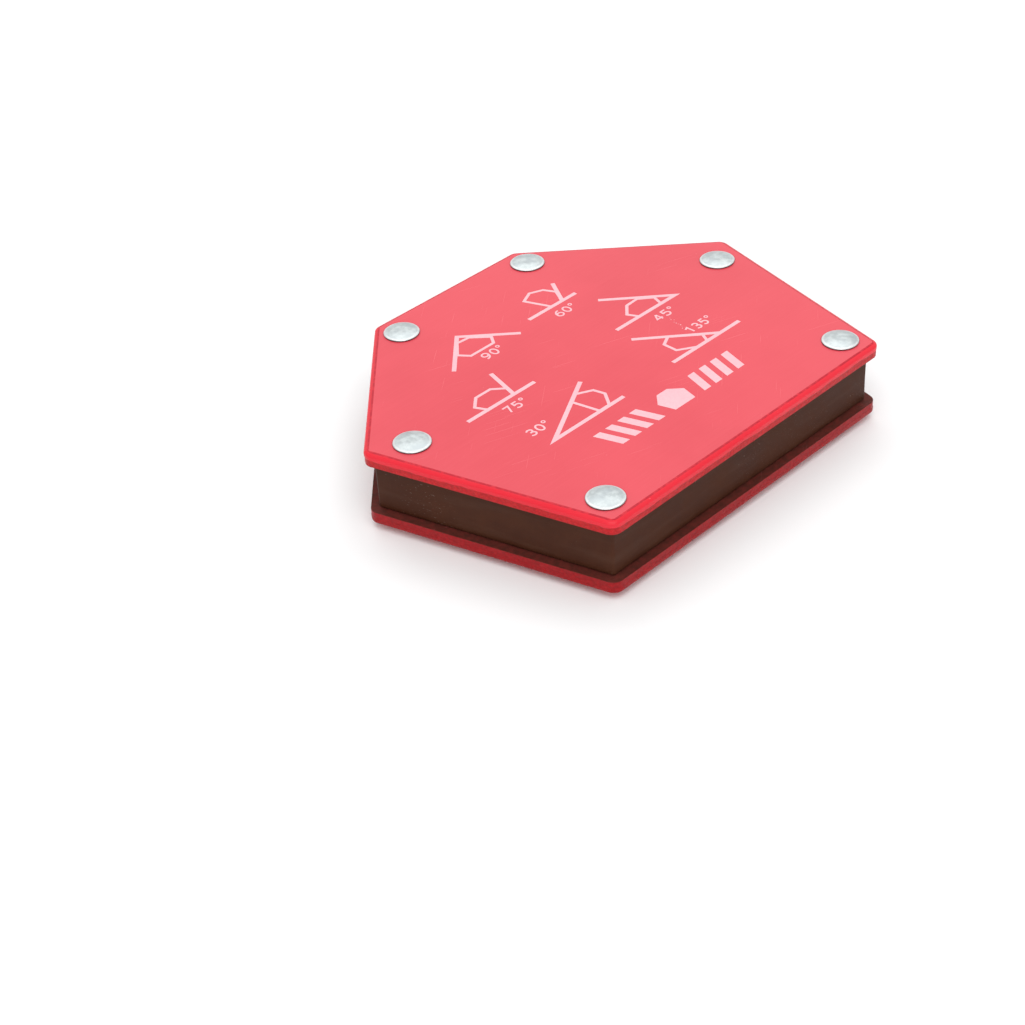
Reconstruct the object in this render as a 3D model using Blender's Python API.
"""Six-angle magnetic welding holder.

Two red steel pole plates of the same hexagonal outline are riveted together
over a black moulded spacer that carries five ferrite blocks.  The outline sets
the angles: 75 degrees between the base and either slanted side, 60 between a
slanted side and a sloped one, 45 between the base and a sloped side, 135
between a sloped side and the top, 90 between the two sloped sides and 30
between the two slanted ones.

The holder lies flat: its long base edge faces -Y, the front plate faces +Z and
it rests on the formed tails of its six rivets at Z = 0.  All sizes in metres.
"""

import math

import bmesh
import bpy

# ---- outline of a pole plate, before its corners are rounded ----
BASE_LENGTH = 0.0860
SLANT_LENGTH = 0.0578
SLOPE_LENGTH = 0.0505
SLANT_ANGLE = math.radians(75.0)
SLOPE_ANGLE = math.radians(45.0)
CORNER_RADIUS = 0.0026
CORNER_STEPS = 5

# ---- stack, from the rest plane upwards ----
GAP = 0.0003
HEAD_HEIGHT = 0.0010
PLATE_THICKNESS = 0.0032
CORE_THICKNESS = 0.0111
EDGE_ROLL = 0.0009
EDGE_BURR = 0.00025
CORE_INSET = 0.0020
CORE_CORNER_RADIUS = 0.0008
CORE_CHAMFER = 0.00025

# ---- rivets: centres measured from the middle of the base edge ----
RIVET_SITES = {
    "base_left": (-0.0379, 0.0069),
    "base_right": (0.0379, 0.0069),
    "side_left": (-0.0490, 0.0505),
    "side_right": (0.0490, 0.0505),
    "top_left": (-0.0203, 0.0846),
    "top_right": (0.0203, 0.0846),
}
SHANK_RADIUS = 0.0021
HEAD_RADIUS = 0.0041
HEAD_RIM = 0.00035
TAIL_RADIUS = 0.0040
TAIL_BORE_RADIUS = 0.0011
TAIL_BORE_DEPTH = 0.0030
SLEEVE_WALL = 0.0008
ROUND_STEPS = 28

# ---- ferrite blocks and their pockets ----
BLOCK_LENGTH = 0.0400
BLOCK_WIDTH = 0.0200
BLOCK_CHAMFER = 0.0006
POCKET_WEB = 0.0016
FIRST_ROW = 0.0120

# ---- where the stack levels fall ----
REAR_OUTER = HEAD_HEIGHT + GAP
REAR_INNER = REAR_OUTER + PLATE_THICKNESS
CORE_BOTTOM = REAR_INNER + GAP
CORE_TOP = CORE_BOTTOM + CORE_THICKNESS
FRONT_INNER = CORE_TOP + GAP
FRONT_OUTER = FRONT_INNER + PLATE_THICKNESS

SLANT_RISE = SLANT_LENGTH * math.sin(SLANT_ANGLE)
SLOPE_RISE = SLOPE_LENGTH * math.sin(SLOPE_ANGLE)
HOLDER_DEPTH = SLANT_RISE + SLOPE_RISE
PIVOT_Y = HOLDER_DEPTH / 2.0


def clear_scene():
    for obj in list(bpy.data.objects):
        bpy.data.objects.remove(obj, do_unlink=True)


def make_material(name, colour, roughness, metallic):
    material = bpy.data.materials.new(name)
    material.use_nodes = True
    shader = material.node_tree.nodes["Principled BSDF"]
    shader.inputs["Base Color"].default_value = (*colour, 1.0)
    shader.inputs["Roughness"].default_value = roughness
    shader.inputs["Metallic"].default_value = metallic
    return material


def add_object(name, bm, material, smooth_angle=None):
    bmesh.ops.recalc_face_normals(bm, faces=bm.faces[:])
    mesh = bpy.data.meshes.new(name)
    bm.to_mesh(mesh)
    bm.free()
    if material is not None:
        mesh.materials.append(material)
    if smooth_angle is not None:
        mesh.shade_smooth()
        mesh.set_sharp_from_angle(angle=smooth_angle)
    obj = bpy.data.objects.new(name, mesh)
    bpy.context.scene.collection.objects.link(obj)
    return obj


def hexagon_corners():
    """The six sharp corners of the outline, anticlockwise from the base's left end."""
    base = BASE_LENGTH / 2.0
    side = base + SLANT_LENGTH * math.cos(SLANT_ANGLE)
    top = side - SLOPE_LENGTH * math.cos(SLOPE_ANGLE)
    low = -PIVOT_Y
    middle = low + SLANT_RISE
    high = low + HOLDER_DEPTH
    return [
        (-base, low),
        (base, low),
        (side, middle),
        (top, high),
        (-top, high),
        (-side, middle),
    ]


def edge_normal(start, end):
    """Unit vector square to an edge, pointing into the outline."""
    length = math.dist(start, end)
    return (-(end[1] - start[1]) / length, (end[0] - start[0]) / length)


def corner_centre(before, corner, after, depth):
    """The point that lies the same depth inside both edges that meet at a corner."""
    first = edge_normal(before, corner)
    second = edge_normal(corner, after)
    turn = 1.0 + first[0] * second[0] + first[1] * second[1]
    shift_x = depth * (first[0] + second[0]) / turn
    shift_y = depth * (first[1] + second[1]) / turn
    return (corner[0] + shift_x, corner[1] + shift_y)


def outline_ring(inset, radius):
    """The outline moved inwards, each corner an arc of the given outer radius."""
    corners = hexagon_corners()
    depth = inset + radius
    points = []
    for index, corner in enumerate(corners):
        before = corners[index - 1]
        after = corners[(index + 1) % len(corners)]
        centre = corner_centre(before, corner, after, depth)
        first = edge_normal(before, corner)
        second = edge_normal(corner, after)
        start = math.atan2(-first[1], -first[0])
        sweep = (math.atan2(-second[1], -second[0]) - start) % math.tau
        for step in range(CORNER_STEPS + 1):
            angle = start + sweep * step / CORNER_STEPS
            points.append((centre[0] + radius * math.cos(angle), centre[1] + radius * math.sin(angle)))
    return points


def loft(rings):
    """A closed body through equal-length rings of (x, y, z) points, capped at both ends."""
    bm = bmesh.new()
    rows = [[bm.verts.new(point) for point in ring] for ring in rings]
    for lower, upper in zip(rows, rows[1:]):
        count = len(lower)
        for index in range(count):
            following = (index + 1) % count
            bm.faces.new((lower[index], lower[following], upper[following], upper[index]))
    bm.faces.new(list(reversed(rows[0])))
    bm.faces.new(rows[-1])
    return bm


def outline_body(levels, inset, radius):
    """Lofts the outline through (extra inset, z) levels; all levels share their corner centres."""
    rings = []
    for extra, height in levels:
        ring = outline_ring(inset + extra, radius - extra)
        rings.append([(x, y, height) for x, y in ring])
    return loft(rings)


def lathe(profile, centre):
    """A closed body of revolution about the vertical line through a centre.

    The profile runs from the axis at one end to the axis at the other, so its
    first and last points have radius 0.
    """
    bm = bmesh.new()
    rows = []
    for radius, height in profile:
        if radius == 0.0:
            rows.append([bm.verts.new((centre[0], centre[1], height))])
            continue
        row = []
        for step in range(ROUND_STEPS):
            angle = math.tau * step / ROUND_STEPS
            x = centre[0] + radius * math.cos(angle)
            y = centre[1] + radius * math.sin(angle)
            row.append(bm.verts.new((x, y, height)))
        rows.append(row)
    for lower, upper in zip(rows, rows[1:]):
        join_rows(bm, lower, upper)
    return bm


def join_rows(bm, lower, upper):
    for step in range(ROUND_STEPS):
        following = (step + 1) % ROUND_STEPS
        corners = [lower[step % len(lower)], lower[following % len(lower)]]
        corners += [upper[following % len(upper)], upper[step % len(upper)]]
        bm.faces.new(list(dict.fromkeys(corners)))


def tube(inner, outer, bottom, top, centre):
    """A plain sleeve: two concentric walls joined by flat ends."""
    bm = bmesh.new()
    rows = []
    for radius, height in ((inner, bottom), (outer, bottom), (outer, top), (inner, top)):
        row = []
        for step in range(ROUND_STEPS):
            angle = math.tau * step / ROUND_STEPS
            x = centre[0] + radius * math.cos(angle)
            y = centre[1] + radius * math.sin(angle)
            row.append(bm.verts.new((x, y, height)))
        rows.append(row)
    for index, row in enumerate(rows):
        join_rows(bm, row, rows[(index + 1) % len(rows)])
    return bm


def add_cylinder(bm, radius, bottom, top, centre):
    rows = []
    for height in (bottom, top):
        row = []
        for step in range(ROUND_STEPS):
            angle = math.tau * step / ROUND_STEPS
            x = centre[0] + radius * math.cos(angle)
            y = centre[1] + radius * math.sin(angle)
            row.append(bm.verts.new((x, y, height)))
        rows.append(row)
    join_rows(bm, rows[0], rows[1])
    bm.faces.new(list(reversed(rows[0])))
    bm.faces.new(rows[1])


def add_box(bm, centre, size):
    made = bmesh.ops.create_cube(bm, size=1.0)
    for vert in made["verts"]:
        vert.co.x = centre[0] + vert.co.x * size[0]
        vert.co.y = centre[1] + vert.co.y * size[1]
        vert.co.z = centre[2] + vert.co.z * size[2]
    return made["verts"]


def site_on_plate(site):
    """A point given from the middle of the base edge, in the holder's own frame."""
    return (site[0], site[1] - PIVOT_Y)


def add_cutter(name, bm):
    cutter = add_object(name, bm, None)
    cutter.hide_render = True
    cutter.display_type = "WIRE"
    return cutter


def cut_away(obj, cutter):
    modifier = obj.modifiers.new("cut", "BOOLEAN")
    modifier.operation = "DIFFERENCE"
    modifier.solver = "EXACT"
    modifier.object = cutter


def rolled_edge_levels(outer, inner):
    """(inset, z) levels of a sheared plate: rounded over at its outer face, a burr break inside."""
    sign = 1.0 if inner > outer else -1.0
    levels = []
    for step in range(4):
        angle = math.pi / 2.0 * step / 3.0
        inset = EDGE_ROLL * (1.0 - math.sin(angle))
        drop = EDGE_ROLL * (1.0 - math.cos(angle))
        levels.append((inset, outer + sign * drop))
    levels.append((0.0, inner - sign * EDGE_BURR))
    levels.append((EDGE_BURR, inner))
    return levels


def make_pole_plates(material):
    cutter_mesh = bmesh.new()
    for site in RIVET_SITES.values():
        centre = site_on_plate(site)
        add_cylinder(cutter_mesh, SHANK_RADIUS + GAP, -0.002, FRONT_OUTER + 0.003, centre)
    cutter = add_cutter("plate_hole_cutter", cutter_mesh)
    faces = {"front_plate": (FRONT_OUTER, FRONT_INNER), "rear_plate": (REAR_OUTER, REAR_INNER)}
    for name, (outer, inner) in faces.items():
        body = outline_body(rolled_edge_levels(outer, inner), 0.0, CORNER_RADIUS)
        plate = add_object(name, body, material, math.radians(35.0))
        cut_away(plate, cutter)


def block_sites():
    """Name and centre of each ferrite block: two rows of two, then one at the top."""
    across = (BLOCK_LENGTH + POCKET_WEB) / 2.0 + GAP
    row_step = BLOCK_WIDTH + 2.0 * GAP + POCKET_WEB
    first = FIRST_ROW + BLOCK_WIDTH / 2.0 + GAP
    return {
        "magnet_base_left": site_on_plate((-across, first)),
        "magnet_base_right": site_on_plate((across, first)),
        "magnet_middle_left": site_on_plate((-across, first + row_step)),
        "magnet_middle_right": site_on_plate((across, first + row_step)),
        "magnet_top": site_on_plate((0.0, first + 2.0 * row_step)),
    }


def make_spacer(material):
    levels = [
        (CORE_CHAMFER, CORE_BOTTOM),
        (0.0, CORE_BOTTOM + CORE_CHAMFER),
        (0.0, CORE_TOP - CORE_CHAMFER),
        (CORE_CHAMFER, CORE_TOP),
    ]
    spacer = add_object(
        "core_spacer",
        outline_body(levels, CORE_INSET, CORE_CORNER_RADIUS),
        material,
        math.radians(30.0),
    )
    cutter_mesh = bmesh.new()
    bore = SHANK_RADIUS + GAP + SLEEVE_WALL + GAP
    for site in RIVET_SITES.values():
        centre = site_on_plate(site)
        add_cylinder(cutter_mesh, bore, CORE_BOTTOM - 0.002, CORE_TOP + 0.002, centre)
    middle = (CORE_BOTTOM + CORE_TOP) / 2.0
    size = (BLOCK_LENGTH + 2.0 * GAP, BLOCK_WIDTH + 2.0 * GAP, CORE_THICKNESS + 0.004)
    for x, y in block_sites().values():
        add_box(cutter_mesh, (x, y, middle), size)
    cut_away(spacer, add_cutter("spacer_pocket_cutter", cutter_mesh))


def make_blocks(material):
    middle = (CORE_BOTTOM + CORE_TOP) / 2.0
    for name, (x, y) in block_sites().items():
        bm = bmesh.new()
        add_box(bm, (x, y, middle), (BLOCK_LENGTH, BLOCK_WIDTH, CORE_THICKNESS))
        bmesh.ops.bevel(
            bm,
            geom=bm.edges[:],
            offset=BLOCK_CHAMFER,
            offset_type="OFFSET",
            segments=1,
            affect="EDGES",
        )
        add_object(name, bm, material)


def rivet_profile():
    """(radius, z) from the blind end of the tail's bore, round the clenched tail, to the head."""
    seat = FRONT_OUTER + GAP
    return [
        (0.0, TAIL_BORE_DEPTH),
        (TAIL_BORE_RADIUS, TAIL_BORE_DEPTH),
        (TAIL_BORE_RADIUS, 0.00045),
        (0.0014, 0.00012),
        (0.0019, 0.0),
        (0.0024, 0.0),
        (0.0031, 0.00022),
        (0.0037, 0.00055),
        (TAIL_RADIUS, HEAD_HEIGHT - 0.00020),
        (TAIL_RADIUS, HEAD_HEIGHT),
        (SHANK_RADIUS, HEAD_HEIGHT),
        (SHANK_RADIUS, seat),
        (HEAD_RADIUS, seat),
        (HEAD_RADIUS, seat + HEAD_RIM),
        (HEAD_RADIUS - 0.00025, seat + 0.00052),
        (0.0031, seat + 0.00080),
        (0.0023, seat + 0.00096),
        (0.0014, seat + HEAD_HEIGHT),
        (0.0, seat + HEAD_HEIGHT - 0.00004),
    ]


def make_rivets(zinc, steel):
    for label, site in RIVET_SITES.items():
        centre = site_on_plate(site)
        add_object("rivet_" + label, lathe(rivet_profile(), centre), zinc, math.radians(40.0))
        inner = SHANK_RADIUS + GAP
        outer = inner + SLEEVE_WALL
        sleeve = tube(inner, outer, CORE_BOTTOM, CORE_TOP, centre)
        add_object("sleeve_" + label, sleeve, steel, math.radians(40.0))


def main():
    clear_scene()
    enamel = make_material("red_enamel", (0.76, 0.020, 0.040), 0.28, 0.0)
    moulding = make_material("black_moulding", (0.030, 0.022, 0.018), 0.55, 0.0)
    ferrite = make_material("ferrite", (0.050, 0.050, 0.054), 0.60, 0.0)
    zinc = make_material("zinc_plate", (0.70, 0.74, 0.76), 0.30, 1.0)
    steel = make_material("sleeve_steel", (0.50, 0.50, 0.51), 0.40, 1.0)
    make_pole_plates(enamel)
    make_spacer(moulding)
    make_blocks(ferrite)
    make_rivets(zinc, steel)


main()
